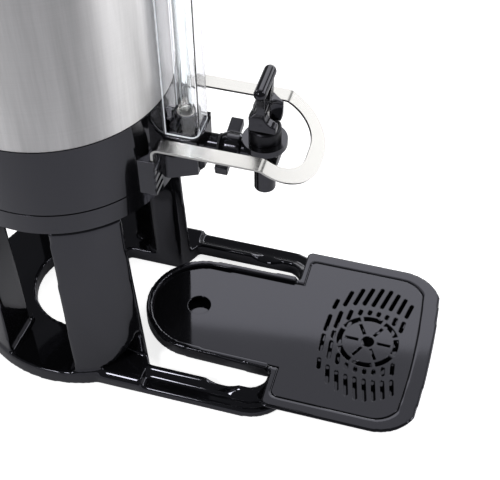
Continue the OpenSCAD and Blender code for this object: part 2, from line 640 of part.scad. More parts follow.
module tap_spring() at_axis() color([0.75, 0.75, 0.75]) translate([0, -spout_y, 0])
  let (n = spring_turns * spring_steps, m = spring_sides)
    polyhedron(
      points = [for (i = [0 : n]) each helix_ring(i)],
      faces = concat(
        [[for (k = [0 : m - 1]) k]],
        [for (i = [0 : n - 1], k = [0 : m - 1])
          [i * m + k, (i + 1) * m + k, (i + 1) * m + (k + 1) % m, i * m + (k + 1) % m]],
        [[for (k = [m - 1 : -1 : 0]) n * m + k]]));

module handle_pin() at_axis() color([0.75, 0.75, 0.75])
  sideways(-11, -spout_y, pin_z) cylinder(r = pin_r, h = 22, $fn = 32);

// Two cheeks over the stem, two posts and a cross bar
module tap_handle() at_axis() color([0.08, 0.08, 0.09]) translate([0, -spout_y, 0]) difference() {
  union() {
    intersection() {
      translate([-30, 0, 0]) rotate([90, 0, 90]) linear_extrude(60)
        polygon([[-12.3, skirt_z], [10.3, skirt_z], [10.3, pin_z + 5], [post_t / 2, pin_z + 13], [post_t / 2, bar_z],
                 [-post_t / 2, bar_z], [-post_t / 2, pin_z + 13], [-12.3, pin_z + 5]]);
      rotate([90, 0, 0]) linear_extrude(60, center = true) difference() {
        polygon([[-handle_x, skirt_z - 1], [handle_x, skirt_z - 1], [handle_x, pin_z + 10],
                 [bar_l / 2 - 3.5, bar_z + 1], [-bar_l / 2 + 3.5, bar_z + 1], [-handle_x, pin_z + 10]]);
        polygon([[0, pin_z + 14], [bar_l / 2 - 9, bar_z - bar_r + 0.5], [-bar_l / 2 + 9, bar_z - bar_r + 0.5]]);
      }
    }
    sideways(-9, 0, pin_z) cylinder(r = pin_z - bonnet_top - 0.3, h = 18);
    sideways(-bar_l / 2 + bar_r, 0, bar_z) cylinder(r = bar_r, h = bar_l - 2 * bar_r);
    for (s = [-1, 1]) translate([s * (bar_l / 2 - bar_r), 0, bar_z]) sphere(r = bar_r);
  }
  translate([-cheek_x, -30, 0]) cube([2 * cheek_x, 60, pin_z + 6.5]);
  sideways(-20, 0, pin_z) cylinder(r = pin_r + run, h = 40, $fn = 32);
}

// ---- guard -------------------------------------------------------------------

// Outline of the loop, moved in by t: two round corners on straight sides
module loop_mass(t, h) {
  for (x = [-1, 1]) translate([x * loop_x, loop_u, 0]) cylinder(r = loop_r - t, h = h);
  translate([-loop_x, loop_u, 0]) cube([2 * loop_x, loop_r - t, h]);
  translate([t - loop_x - loop_r, -10, 0]) cube([2 * (loop_x + loop_r - t), loop_u + 10, h]);
}

// Flat loop that hangs from the fold at the front of the arms
module guard_loop() translate([0, -fold_y, guard_top]) rotate([fold_a, 0, 0]) mirror([0, 1, 0])
  translate([0, 0, -strap_t]) difference() {
    loop_mass(0, strap_t);
    translate([0, 0, -1]) loop_mass(strap_w, strap_t + 2);
    translate([-cut / 2, -cut, -1]) cube([cut, cut, strap_t + 2]);
  }

// Strip of sheet that is bent down at its back and folded at its front into a loop
module guard_strap() at_axis() color([0.8, 0.8, 0.78]) {
  difference() {
    union() {
      guard_loop();
      both() {
        translate([guard_x - strap_w / 2, -fold_y, guard_top - strap_t]) cube([strap_w, fold_y - hook_y, strap_t]);
        // wedge that fills the fold
        sideways(guard_x - strap_w / 2, -fold_y, guard_top) intersection() {
          cylinder(r = strap_t, h = strap_w, $fn = 64);
          rotate(-90 + fold_a / 2) translate([-9, -9, 0]) cube([18, 18, strap_w]);
        }
      }
    }
    translate([-cut / 2, -fold_y - cut, guard_top]) cube([cut, 2 * cut, 20]);
  }
  both() {
    sideways(guard_x - strap_w / 2, -hook_y, guard_top - hook_r) rotate(90) rotate_extrude(angle = 90)
      translate([hook_r - strap_t, 0]) square([strap_t, strap_w]);
    translate([guard_x - strap_w / 2, -hook_y + hook_r - strap_t, guard_top - hook_r - tab_h])
      cube([strap_w, strap_t, tab_h]);
  }
}

// Block on the collar with a slot that the strap's tab is pushed into
module guard_bracket(s) color([0.12, 0.12, 0.13]) mirror([s, 0, 0]) difference() {
  translate([guard_x - bracket_x / 2, -bracket_y, guard_top - 51]) cube([bracket_x, 40, 37.5]);
  cylinder(r = skin_r + 0.02, h = cut);
  // grooves down the front face
  for (i = [0 : 3]) translate([guard_x - 20, -bracket_y - 1, guard_top - 47 + 8 * i]) cube([40, 2.2, 3.5]);
  translate([guard_x - strap_w / 2 - slip, -hook_y + hook_r - strap_t - slip / 4, guard_top - hook_r - tab_h - slip])
    cube([strap_w + 2 * slip, strap_t + slip / 2, cut]);
}
module guard_bracket_left() at_axis() guard_bracket(1);
module guard_bracket_right() at_axis() guard_bracket(0);

// ---- drip tray -----------------------------------------------------------------

module tongue_mass(t, y_end, h) {
  translate([0, -tongue_y, 0]) cylinder(r = tongue_nose - t, h = h);
  linear_extrude(h) polygon([[-tongue_nose + t, -tongue_y], [tongue_nose - t, -tongue_y],
                             [tongue_x - t, -y_end], [-tongue_x + t, -y_end]]);
}

// Head of the tray, moved in by side, back and front
module head_plan(side, back, front, r) intersection() {
  soft_rect([-head_x + side, -tray_reach + front], [head_x - side, -head_y - back], r, min(r, 6));
  translate([0, 700 - tray_reach + front]) circle(r = 700, $fn = 360);
}

module cover_mass(t, h) {
  tongue_mass(rim_w + t, head_y + head_back_w + 3, h);
  linear_extrude(h) head_plan(flange_w + t, head_back_w + t, head_front_w + t, 28);
}

module bowl_mass(t, h) {
  tongue_mass(t, bowl_y + 2, h);
  linear_extrude(h) intersection() {
    head_plan(flange_w - 4 + t, 0, head_front_w - 4 + t, 34);
    translate([-cut, -cut - bowl_y - t]) square([2 * cut, cut]);
  }
}

module drip_tray() at_axis() color([0.1, 0.1, 0.11]) difference() {
  union() {
    translate([0, 0, tray_z - flange_t]) linear_extrude(flange_t) head_plan(0, 0, 0, 42);
    translate([0, 0, tray_z - flange_t - 1]) linear_extrude(flange_t) head_plan(flange_w - 4, 5.5, head_front_w - 4, 34);
    translate([0, 0, tray_z - bowl_d]) bowl_mass(0, bowl_d);
    translate([0, 0, tray_z - bowl_d]) tongue_mass(0, head_y - 3, bowl_d + rim_h);
  }
  // bowl, with a ledge left for the cover
  translate([0, 0, tray_z - bowl_d + tray_t]) intersection() {
    bowl_mass(tray_t, bowl_d);
    cover_mass(2.5, bowl_d);
  }
  // seat of the cover
  translate([0, 0, tray_z - cover_t - 0.1]) cover_mass(-slip / 2, 20);
}

module slot(x0, x1, y0) let (xm = (x0 + x1) / 2)
  translate([xm, -y0 - xm * xm / (2 * row_r)]) rotate(-asin(xm / row_r)) {
    square([x1 - x0 - slot_w, slot_w], center = true);
    for (s = [-1, 1]) translate([s * (x1 - x0 - slot_w) / 2, 0]) circle(r = slot_w / 2, $fn = 20);
  }

// Rows of slots that bow round the rosette
module slot_rows() for (k = [0 : len(slot_ends) - 1]) let (y = row_y + k * slot_pitch, x = slot_ends[k]) {
  both() {
    slot(x[0], x[1], y);
    slot(x[2], x[3], y);
  }
  if (k == 1) slot(-4.5, 4.5, y);
}

module rosette() translate([0, -rosette_y]) {
  for (a = [0 : 45 : 315]) rotate(a) intersection() {
    difference() {
      circle(r = rosette_r - 1);
      circle(r = rosette_r - 5.5);
    }
    polygon([[0, 0], [60 * cos(18.5), -60 * sin(18.5)], [60 * cos(18.5), 60 * sin(18.5)]]);
  }
  for (a = [30 : 60 : 330]) rotate(a) translate([9.5, -1.3]) square([rosette_r - 18.5, 2.6]);
  circle(r = 6);
}

module drip_cover() at_axis() color([0.13, 0.13, 0.14]) translate([0, 0, tray_z - cover_t]) difference() {
  cover_mass(seam / 2, cover_t);
  translate([0, 0, -1]) {
    translate([0, -tongue_y + 4, 0]) cylinder(r = finger_r, h = cover_t + 2);
    linear_extrude(cover_t + 2) slot_rows();
    linear_extrude(cover_t + 2) rosette();
  }
}

stand();
stand_ring();
stand_feet();
ring_screws();
bottom_collar();
collar_screws();
outer_shell();
inner_vessel();
outlet_pipe();
outlet_seal();
shoulder_ring();
mouth_gasket();
bail();
bail_pins();
lid();
lid_seal();
fill_tube();
tap_housing();
housing_screws();
sight_tube();
tube_seat();
tube_seal();
gauge_bracket();
gauge_cap();
gauge_shield();
tap_shank();
shank_washer();
wing_nut();
tap_body();
tap_bonnet();
seat_cup();
tap_stem();
tap_spring();
handle_pin();
tap_handle();
guard_strap();
guard_bracket_left();
guard_bracket_right();
drip_tray();
drip_cover();
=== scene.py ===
"""Coffee urn on a moulded stand, with sight gauge, guarded tap and drip tray.

Metres throughout, in the urn's own frame: +Z up, the tap looks along -Y.
"""

import math

import bmesh
import bpy
from mathutils import Matrix, Vector


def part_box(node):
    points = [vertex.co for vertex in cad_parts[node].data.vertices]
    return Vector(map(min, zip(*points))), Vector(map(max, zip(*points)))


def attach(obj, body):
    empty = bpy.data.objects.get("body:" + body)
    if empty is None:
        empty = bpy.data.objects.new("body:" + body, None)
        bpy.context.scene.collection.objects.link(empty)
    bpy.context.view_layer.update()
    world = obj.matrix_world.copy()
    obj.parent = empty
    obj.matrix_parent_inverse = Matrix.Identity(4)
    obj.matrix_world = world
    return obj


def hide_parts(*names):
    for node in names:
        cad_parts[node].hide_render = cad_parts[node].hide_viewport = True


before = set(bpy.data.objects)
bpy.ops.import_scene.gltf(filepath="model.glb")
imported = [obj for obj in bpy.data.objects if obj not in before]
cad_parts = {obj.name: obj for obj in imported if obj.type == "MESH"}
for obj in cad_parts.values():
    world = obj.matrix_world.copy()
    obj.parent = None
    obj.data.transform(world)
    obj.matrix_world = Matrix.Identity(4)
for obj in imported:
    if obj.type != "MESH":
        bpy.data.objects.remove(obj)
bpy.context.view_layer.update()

MM = 0.001
SMOOTH_BELOW = math.radians(38)  # flatter edges than this are shaded smooth
FLAT_BELOW = math.radians(0.4)  # faces that meet flatter than this are merged
SAME_POINT = 0.00002  # points this close are one point

# ---- places read from the frame ------------------------------------------------------

shell_low, shell_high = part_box("outer_shell")
AXIS = Vector(((shell_low.x + shell_high.x) / 2, (shell_low.y + shell_high.y) / 2, 0))


def at(x, y, z):
    """A point given in millimetres from the urn's axis and the counter."""
    return Vector((x * MM, y * MM, z * MM)) + AXIS


# ---- modelling by hand ---------------------------------------------------------------


def deselect():
    if bpy.context.object and bpy.context.object.mode != "OBJECT":
        bpy.ops.object.mode_set(mode="OBJECT")
    bpy.ops.object.select_all(action="DESELECT")


def pick(obj):
    """Makes obj the only selected and the active object."""
    deselect()
    obj.select_set(True)
    bpy.context.view_layer.objects.active = obj


def bake_place(obj):
    """Puts the object at the origin with its place in its mesh."""
    pick(obj)
    bpy.ops.object.transform_apply(location=True, rotation=True, scale=True)
    return obj


def apply_modifier(obj, kind, **values):
    """Adds a modifier with these values and applies it at once."""
    pick(obj)
    modifier = obj.modifiers.new(kind.title(), kind)
    for key, value in values.items():
        setattr(modifier, key, value)
    bpy.ops.object.modifier_apply(modifier=modifier.name)


def soften(obj, width, angle=32, weighted=True):
    """Rounds the edges sharper than angle, and shades the rest smooth."""
    if width:
        apply_modifier(
            obj,
            "BEVEL",
            width=width * MM,
            segments=2,
            limit_method="ANGLE",
            angle_limit=math.radians(angle),
            miter_outer="MITER_ARC",
            use_clamp_overlap=True,
        )
    pick(obj)
    bpy.ops.object.shade_smooth_by_angle(angle=SMOOTH_BELOW)
    if weighted:
        apply_modifier(
            obj, "WEIGHTED_NORMAL", mode="FACE_AREA", weight=50, keep_sharp=True
        )
    return obj


def melt(obj, grain, rounds):
    """Runs all edges and inner corners of a moulding smoothly together.

    It is made again from cubes as wide as grain, in millimetres, and then smoothed.
    """
    apply_modifier(
        obj, "REMESH", mode="VOXEL", voxel_size=grain * MM, use_smooth_shade=True
    )
    apply_modifier(obj, "SMOOTH", factor=0.5, iterations=rounds)
    pick(obj)
    bpy.ops.object.shade_smooth()
    return obj


def edit(obj):
    """Opens obj in edit mode with nothing selected, for choosing by place."""
    pick(obj)
    bpy.ops.object.mode_set(mode="EDIT")
    bpy.ops.mesh.select_mode(type="VERT")
    bpy.ops.mesh.select_all(action="DESELECT")
    return bmesh.from_edit_mesh(obj.data)


def choose(obj, wanted):
    """Selects, in edit mode, the points for which wanted(place) holds."""
    mesh = bmesh.from_edit_mesh(obj.data)
    for vert in mesh.verts:
        vert.select_set(wanted(vert.co))
    mesh.select_flush_mode()
    bmesh.update_edit_mesh(obj.data)


def combine(obj, other, operation):
    """Cuts the other's shape out of obj or joins it on, and removes the other."""
    apply_modifier(obj, "BOOLEAN", operation=operation, solver="EXACT", object=other)
    bpy.data.objects.remove(other, do_unlink=True)


def dress(obj, name, body, slot, material, *nodes):
    """Names a finished piece, rides it on its body and lets it stand for its nodes."""
    obj.name = name
    obj.data.name = name
    obj.data.materials.clear()
    obj.data.materials.append(material)
    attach(obj, body)
    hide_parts(*nodes)


def rounded_copy(node, width=0):
    """A merged copy of a CAD node, with its edges rounded where a width is given."""
    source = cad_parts[node]
    copy = bpy.data.objects.new(node + "_look", source.data.copy())
    bpy.context.scene.collection.objects.link(copy)
    pick(copy)
    bpy.ops.object.mode_set(mode="EDIT")
    bpy.ops.mesh.select_all(action="SELECT")
    bpy.ops.mesh.remove_doubles(threshold=SAME_POINT)
    bpy.ops.mesh.dissolve_limited(angle_limit=FLAT_BELOW)
    bpy.ops.object.mode_set(mode="OBJECT")
    return soften(copy, width) if width else copy


# ---- materials -----------------------------------------------------------------------


def new_group(name, inputs, outputs):
    """An empty shader group with sockets given as (name, kind, default)."""
    group = bpy.data.node_groups.new(name, "ShaderNodeTree")
    for side, sockets in (("INPUT", inputs), ("OUTPUT", outputs)):
        for label, kind, default in sockets:
            socket = group.interface.new_socket(
                label, in_out=side, socket_type="NodeSocket" + kind
            )
            if default is not None:
                socket.default_value = default
    return group, group.nodes.new("NodeGroupInput"), group.nodes.new("NodeGroupOutput")


def add_node(tree, kind, **values):
    """A new shader node; in_2=x sets its third input, any other name its property."""
    node = tree.nodes.new("ShaderNode" + kind)
    for key, value in values.items():
        if key.startswith("in_"):
            node.inputs[int(key[3:])].default_value = value
        else:
            setattr(node, key, value)
    return node


def set_inputs(node, **values):
    """Sets a node's inputs by their names, with _ for each space."""
    for key, value in values.items():
        node.inputs[key.replace("_", " ")].default_value = value


def wander(group, noise, given, out):
    """Lets the group's Roughness wander about the given one by the given Spread."""
    link = group.links.new
    centred = add_node(group, "Math", operation="SUBTRACT", in_1=0.5)
    link(noise, centred.inputs[0])
    scaled = add_node(group, "Math", operation="MULTIPLY")
    link(centred.outputs[0], scaled.inputs[0])
    link(given.outputs["Spread"], scaled.inputs[1])
    total = add_node(group, "Math", operation="ADD", use_clamp=True)
    link(scaled.outputs[0], total.inputs[0])
    link(given.outputs["Roughness"], total.inputs[1])
    link(total.outputs[0], out.inputs["Roughness"])


def build_moulded():
    """Fine moulded skin: a height for the bump and a roughness that wanders."""
    group, given, out = new_group(
        "moulded_skin",
        [
            ("Grain", "Float", 900.0),
            ("Roughness", "Float", 0.2),
            ("Spread", "Float", 0.08),
        ],
        [("Height", "Float", None), ("Roughness", "Float", None)],
    )
    link = group.links.new
    place = add_node(group, "TexCoord")
    grain = add_node(group, "TexNoise")
    set_inputs(grain, Detail=3)
    link(place.outputs["Object"], grain.inputs["Vector"])
    link(given.outputs["Grain"], grain.inputs["Scale"])
    link(grain.outputs["Fac"], out.inputs["Height"])
    smudge = add_node(group, "TexNoise")
    set_inputs(smudge, Scale=14, Detail=5, Distortion=0.6)
    link(place.outputs["Object"], smudge.inputs["Vector"])
    wander(group, smudge.outputs["Fac"], given, out)
    return group


def build_edge_wear():
    """Pale, slightly rubbed edges from the surface's pointiness."""
    group, given, out = new_group(
        "rubbed_edges", [("Amount", "Float", 0.3)], [("Mask", "Float", None)]
    )
    link = group.links.new
    shape = add_node(group, "NewGeometry")
    # a convex edge has a pointiness above the flat's 0.5
    ramp = add_node(group, "MapRange", in_1=0.52, in_2=0.6)
    link(shape.outputs["Pointiness"], ramp.inputs[0])
    place = add_node(group, "TexCoord")
    patch = add_node(group, "TexNoise")
    set_inputs(patch, Scale=60)
    link(place.outputs["Object"], patch.inputs["Vector"])
    broken = add_node(group, "Math", operation="MULTIPLY")
    link(ramp.outputs[0], broken.inputs[0])
    link(patch.outputs["Fac"], broken.inputs[1])
    scaled = add_node(group, "Math", operation="MULTIPLY", use_clamp=True)
    link(broken.outputs[0], scaled.inputs[0])
    link(given.outputs["Amount"], scaled.inputs[1])
    link(scaled.outputs[0], out.inputs["Mask"])
    return group


def build_brushing():
    """Fine lines left by a brush: Scale stretches the noise along each axis."""
    group, given, out = new_group(
        "brushing",
        [
            ("Scale", "Vector", (4, 4, 900)),
            ("Roughness", "Float", 0.3),
            ("Spread", "Float", 0.12),
        ],
        [
            ("Height", "Float", None),
            ("Roughness", "Float", None),
            ("Tone", "Float", None),
        ],
    )
    link = group.links.new
    place = add_node(group, "TexCoord")
    stretch = add_node(group, "VectorMath", operation="MULTIPLY")
    link(place.outputs["Object"], stretch.inputs[0])
    link(given.outputs["Scale"], stretch.inputs[1])
    fine = add_node(group, "TexNoise")
    set_inputs(fine, Scale=1, Detail=6, Roughness=0.7)
    link(stretch.outputs[0], fine.inputs["Vector"])
    link(fine.outputs["Fac"], out.inputs["Height"])
    link(fine.outputs["Fac"], out.inputs["Tone"])
    wander(group, fine.outputs["Fac"], given, out)
    return group


MOULDED = build_moulded()
RUBBED = build_edge_wear()
BRUSHING = build_brushing()


def new_material(name):
    """A new material, its node tree and its Principled shader."""
    material = bpy.data.materials.new(name)
    material.use_nodes = True
    shader = material.node_tree.nodes["Principled BSDF"]
    return material, material.node_tree, shader


def use_group(tree, group, **values):
    """A node that uses the group, with its inputs set by name."""
    node = tree.nodes.new("ShaderNodeGroup")
    node.node_tree = group
    set_inputs(node, **values)
    return node


def bump(tree, shader, height, strength, distance):
    """Lets the height tilt the shader's normal."""
    node = add_node(tree, "Bump")
    set_inputs(node, Strength=strength, Distance=distance)
    tree.links.new(height, node.inputs["Height"])
    tree.links.new(node.outputs["Normal"], shader.inputs["Normal"])


PLASTIC_IOR = 1.5
PLASTIC_TINT = (0.86, 0.86, 1.0, 1)  # its gloss is a little blue
RUBBED_TIMES, RUBBED_PLUS = 1.6, 0.02  # a rubbed edge's colour from the plain one
BRUSH_DARK, BRUSH_LIGHT = 0.86, 1.1  # a brushed line's colour from the plain one
PAINTED_STREAK_NOISE, PAINTED_STREAK_TONE = (0.36, 0.64), (0.8, 1.12)  # noise, and the tone it makes: painted reflection streaks on the steel
SKIN_DEPTH = 0.0002
BRUSH_DEPTH = 0.0001


def plastic(name, colour, roughness, spread, grain, relief, worn=0.25):
    """Moulded plastic with fine skin, wandering gloss and rubbed edges."""
    material, tree, shader = new_material(name)
    skin = use_group(tree, MOULDED, Grain=grain, Roughness=roughness, Spread=spread)
    edges = use_group(tree, RUBBED, Amount=worn)
    tone = add_node(tree, "Mix", data_type="RGBA")
    rubbed = [min(1, c * RUBBED_TIMES + RUBBED_PLUS) for c in colour]
    set_inputs(tone, A=(*colour, 1), B=(*rubbed, 1))
    tree.links.new(edges.outputs["Mask"], tone.inputs["Factor"])
    tree.links.new(tone.outputs["Result"], shader.inputs["Base Color"])
    tree.links.new(skin.outputs["Roughness"], shader.inputs["Roughness"])
    bump(tree, shader, skin.outputs["Height"], relief, SKIN_DEPTH)
    set_inputs(shader, IOR=PLASTIC_IOR, Specular_Tint=PLASTIC_TINT)
    return material


def steel(name, colour, scale, roughness, spread, relief, anisotropy=0.0, painted_reflection_streaks=None):
    """Brushed stainless steel; with anisotropy, gloss runs across lines round Z.

    Where painted_reflection_streaks gives a scale, broad light and dark bands of painted
    reflection lie over the fine lines.
    """
    material, tree, shader = new_material(name)
    lines = use_group(tree, BRUSHING, Scale=scale, Roughness=roughness, Spread=spread)
    tone = add_node(tree, "Mix", data_type="RGBA")
    set_inputs(
        tone, A=(*[c * BRUSH_DARK for c in colour], 1),
        B=(*[min(1, c * BRUSH_LIGHT) for c in colour], 1),
    )
    tree.links.new(lines.outputs["Tone"], tone.inputs["Factor"])
    result = tone.outputs["Result"]
    # painted reflection: broad noise bands brighten and darken the steel's colour, standing
    # in for the shell's streaky reflections
    if painted_reflection_streaks:
        reflection_bands = use_group(tree, BRUSHING, Scale=painted_reflection_streaks, Roughness=roughness, Spread=0)
        contrast = add_node(
            tree, "MapRange", in_1=PAINTED_STREAK_NOISE[0], in_2=PAINTED_STREAK_NOISE[1],
            in_3=PAINTED_STREAK_TONE[0], in_4=PAINTED_STREAK_TONE[1],
        )
        shade = add_node(tree, "VectorMath", operation="SCALE")
        tree.links.new(reflection_bands.outputs["Tone"], contrast.inputs[0])
        tree.links.new(result, shade.inputs[0])
        tree.links.new(contrast.outputs[0], shade.inputs["Scale"])
        result = shade.outputs[0]
    tree.links.new(result, shader.inputs["Base Color"])
    tree.links.new(lines.outputs["Roughness"], shader.inputs["Roughness"])
    bump(tree, shader, lines.outputs["Height"], relief, BRUSH_DEPTH)
    set_inputs(shader, Metallic=1, Anisotropic=anisotropy, Anisotropic_Rotation=0.25)
    return material


def clear(name, colour, roughness, ior):
    """Clear glass or plastic, with faint smears in its gloss."""
    material, tree, shader = new_material(name)
    skin = use_group(tree, MOULDED, Grain=200, Roughness=roughness, Spread=0.03)
    tree.links.new(skin.outputs["Roughness"], shader.inputs["Roughness"])
    set_inputs(shader, Base_Color=(*colour, 1), Transmission_Weight=1, IOR=ior)
    return material


BLACK = (0.0045, 0.0045, 0.0052)
DULL_SPECULAR = 0.22
EDGE_GLOW = 0.3

# colour, roughness and its spread, grain, relief of the skin
black_gloss = plastic("black_gloss", (0.0042, 0.0042, 0.005), 0.06, 0.05, 700, 0.012)
black_satin = plastic("black_satin", BLACK, 0.1, 0.06, 1100, 0.03)
black_tap = plastic("black_tap", BLACK, 0.12, 0.07, 900, 0.02)
# painted shade: a darker, duller copy of the black for the bonnet, standing in for the
# shade in the tap's cup
black_cap = plastic("black_cap", (0.003, 0.003, 0.0035), 0.35, 0.06, 900, 0.02)
seat_grey = plastic("seat_grey", (0.011, 0.012, 0.018), 0.12, 0.08, 700, 0.03, worn=0.1)
rubber = plastic("rubber", (0.02, 0.02, 0.02), 0.75, 0.1, 1500, 0.12, worn=0.1)
silicone = plastic("silicone", (0.72, 0.7, 0.66), 0.45, 0.08, 600, 0.03, worn=0.0)
# painted highlight: a pale, glowing plastic for the shield's cut edges, standing in for
# their bright edge line
cut_edge = plastic("cut_edge", (0.85, 0.88, 0.9), 0.35, 0.05, 500, 0.02, worn=0.0)

# colour, scale of the brushing along X, Y and Z, roughness and its spread, relief
# the body steel carries painted reflection streaks in its colour
body_steel = steel(
    "body_steel", (0.52, 0.513, 0.515), (5, 5, 2400), 0.42, 0.08, 0.035,
    anisotropy=0.85, painted_reflection_streaks=(26, 26, 1.2),
)
strap_steel = steel("strap_steel", (0.375, 0.37, 0.36), (900, 30, 900), 0.24, 0.1, 0.05)
small_steel = steel("small_steel", (0.62, 0.61, 0.6), (300, 300, 300), 0.25, 0.1, 0.03)

# colour, roughness, refraction
glass = clear("glass", (0.95, 0.98, 0.98), 0.01, 1.47)
clear_plastic = clear("clear_plastic", (0.91, 0.912, 0.93), 0.03, 1.46)

for dull in (black_cap, seat_grey):
    dull_shader = dull.node_tree.nodes["Principled BSDF"]
    set_inputs(dull_shader, Specular_IOR_Level=DULL_SPECULAR)
# painted highlight: the cut edges are pale and glow, standing in for the bright polished
# edge
painted_glow_shader = cut_edge.node_tree.nodes["Principled BSDF"]
set_inputs(painted_glow_shader, Emission_Color=(0.95, 0.97, 1, 1), Emission_Strength=EDGE_GLOW)

# ---- pieces that keep their solid's shape, with rounded edges ------------------------

ROUNDED = [
    # node, body, record slot, material, edge radius
    ("outer_shell", "base", "brushed_steel", body_steel, 0.25),
    ("shoulder_ring", "base", "black_plastic", black_satin, 0.8),
    ("bail", "bail", "black_plastic", black_satin, 1.5),
    ("lid", "lid", "black_plastic", black_satin, 0.7),
    ("tap_housing", "base", "black_plastic", black_satin, 0.8),
    ("gauge_bracket", "base", "black_plastic", black_satin, 0.8),
    ("gauge_cap", "cap", "black_plastic", black_satin, 0.5),
    ("tube_seat", "base", "seat_plastic", seat_grey, 0.2),
    ("tap_body", "base", "black_plastic", black_tap, 0.4),
    ("tap_bonnet", "base", "black_plastic", black_cap, 0.4),
    ("guard_bracket_left", "base", "black_plastic", black_satin, 0.7),
    ("guard_bracket_right", "base", "black_plastic", black_satin, 0.7),
]
for node, body, slot, material, radius in ROUNDED:
    piece = rounded_copy(node, radius)
    dress(piece, piece.name, body, slot, material, node)

# ---- joints between collar, ring and legs: a dark groove runs round each -------------

GROOVE_DEEP = 2.4 * MM
GROOVE_HIGH = 0.9 * MM  # at the joint between ring and collar, on each of the two
GROOVE_LEGS = 1.6 * MM  # at the foot of the ring, on top of the legs
STEP = 0.05 * MM
WALL = 1 * MM  # points nearer than this to the outer radius belong to the outer wall


def step_in(obj, radius, height, upward):
    """Steps the outer wall inwards above the height, or below it."""
    edit(obj)
    for level in (height, height + (STEP if upward else -STEP)):
        bpy.ops.mesh.select_all(action="SELECT")
        bpy.ops.mesh.bisect(plane_co=(0, 0, level), plane_no=(0, 0, 1))
    choose(obj, lambda co: (co - AXIS).to_2d().length > radius - WALL and (
        co.z > height + STEP / 2 if upward else co.z < height - STEP / 2
    ))
    inwards = 1 - GROOVE_DEEP / radius
    bpy.ops.transform.resize(value=(inwards, inwards, 1), center_override=AXIS)
    bpy.ops.object.mode_set(mode="OBJECT")


ring_low, ring_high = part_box("stand_ring")
for node, steps in (
    ("stand_ring", (
        (ring_low.z + GROOVE_LEGS, False),
        (ring_high.z - GROOVE_HIGH, True),
    )),
    ("bottom_collar", ((ring_high.z + GROOVE_HIGH, False),)),
):
    piece = rounded_copy(node)
    for height, upward in steps:
        step_in(piece, (ring_high.x - ring_low.x) / 2, height, upward)
    soften(piece, 0.35, angle=40)
    dress(piece, piece.name, "base", "black_plastic", black_gloss, node)

# ---- stand, tray and wing nut: soft mouldings ----------------------------------------

for node, body, material, grain, rounds in (
    ("stand", "base", black_gloss, 1.7, 8),
    ("drip_tray", "tray", black_gloss, 1.5, 5),
    ("wing_nut", "nut", black_tap, 0.5, 14),
):
    piece = melt(rounded_copy(node), grain, rounds)
    dress(piece, piece.name, body, "black_plastic", material, node)


def cover_plate():
    """The cover with the mouths of its slots and its finger hole rounded."""
    obj = rounded_copy("drip_cover")
    apply_modifier(
        obj, "BEVEL", width=0.7 * MM, segments=3, limit_method="ANGLE",
        angle_limit=math.radians(40), use_clamp_overlap=False,
    )
    return soften(obj, 0)


dress(cover_plate(), "drip_cover_look", "cover", "black_plastic", black_gloss, "drip_cover")

# ---- guard: a strip that is bent down at the back and folded into a loop -------------

# millimetres and degrees; side is out from the middle, reach is forward from the axis
STRIP = {"width": 14, "thick": 2, "side": 43.5, "top": 277}
STRIP_FOLD = {"reach": 196, "angle": 33, "radius": 9}
STRIP_LOOP = {"centre": 6.5, "reach": 198.5, "steps": 20}
STRIP_HOOK = {"reach": 110, "angle": 90, "radius": 7, "tab": 14}
ARM_ROWS = (138, 166)  # rows of points along the straight arm
BEND_ROWS = 8
AHEAD = 1e-6  # how far past a row's line a point has to lie to turn with it


def bend_rows(obj, start, step, count, angle, beyond):
    """Turns all that lies beyond each of count rows of points a little more about X.

    Beyond is 1 where the bent part lies in front of the rows, and -1 behind them.
    The strip is still flat ahead of the bend, so a row is found by its distance
    along the strip, and its place after the turns before it is followed.
    """
    turn = math.radians(angle) / count
    pivot = Vector((0, -start * MM, STRIP["top"] * MM)) + AXIS
    heading = Vector((0, -beyond, 0))
    for _ in range(count):
        mesh = bmesh.from_edit_mesh(obj.data)
        for vert in mesh.verts:
            vert.select_set((vert.co - pivot).dot(heading) > AHEAD)
        mesh.select_flush_mode()
        bmesh.update_edit_mesh(obj.data)
        bpy.ops.transform.rotate(
            value=-turn, orient_axis="X", orient_type="GLOBAL", center_override=pivot
        )
        heading.rotate(Matrix.Rotation(turn, 3, "X"))
        pivot = pivot + heading * (step * MM)


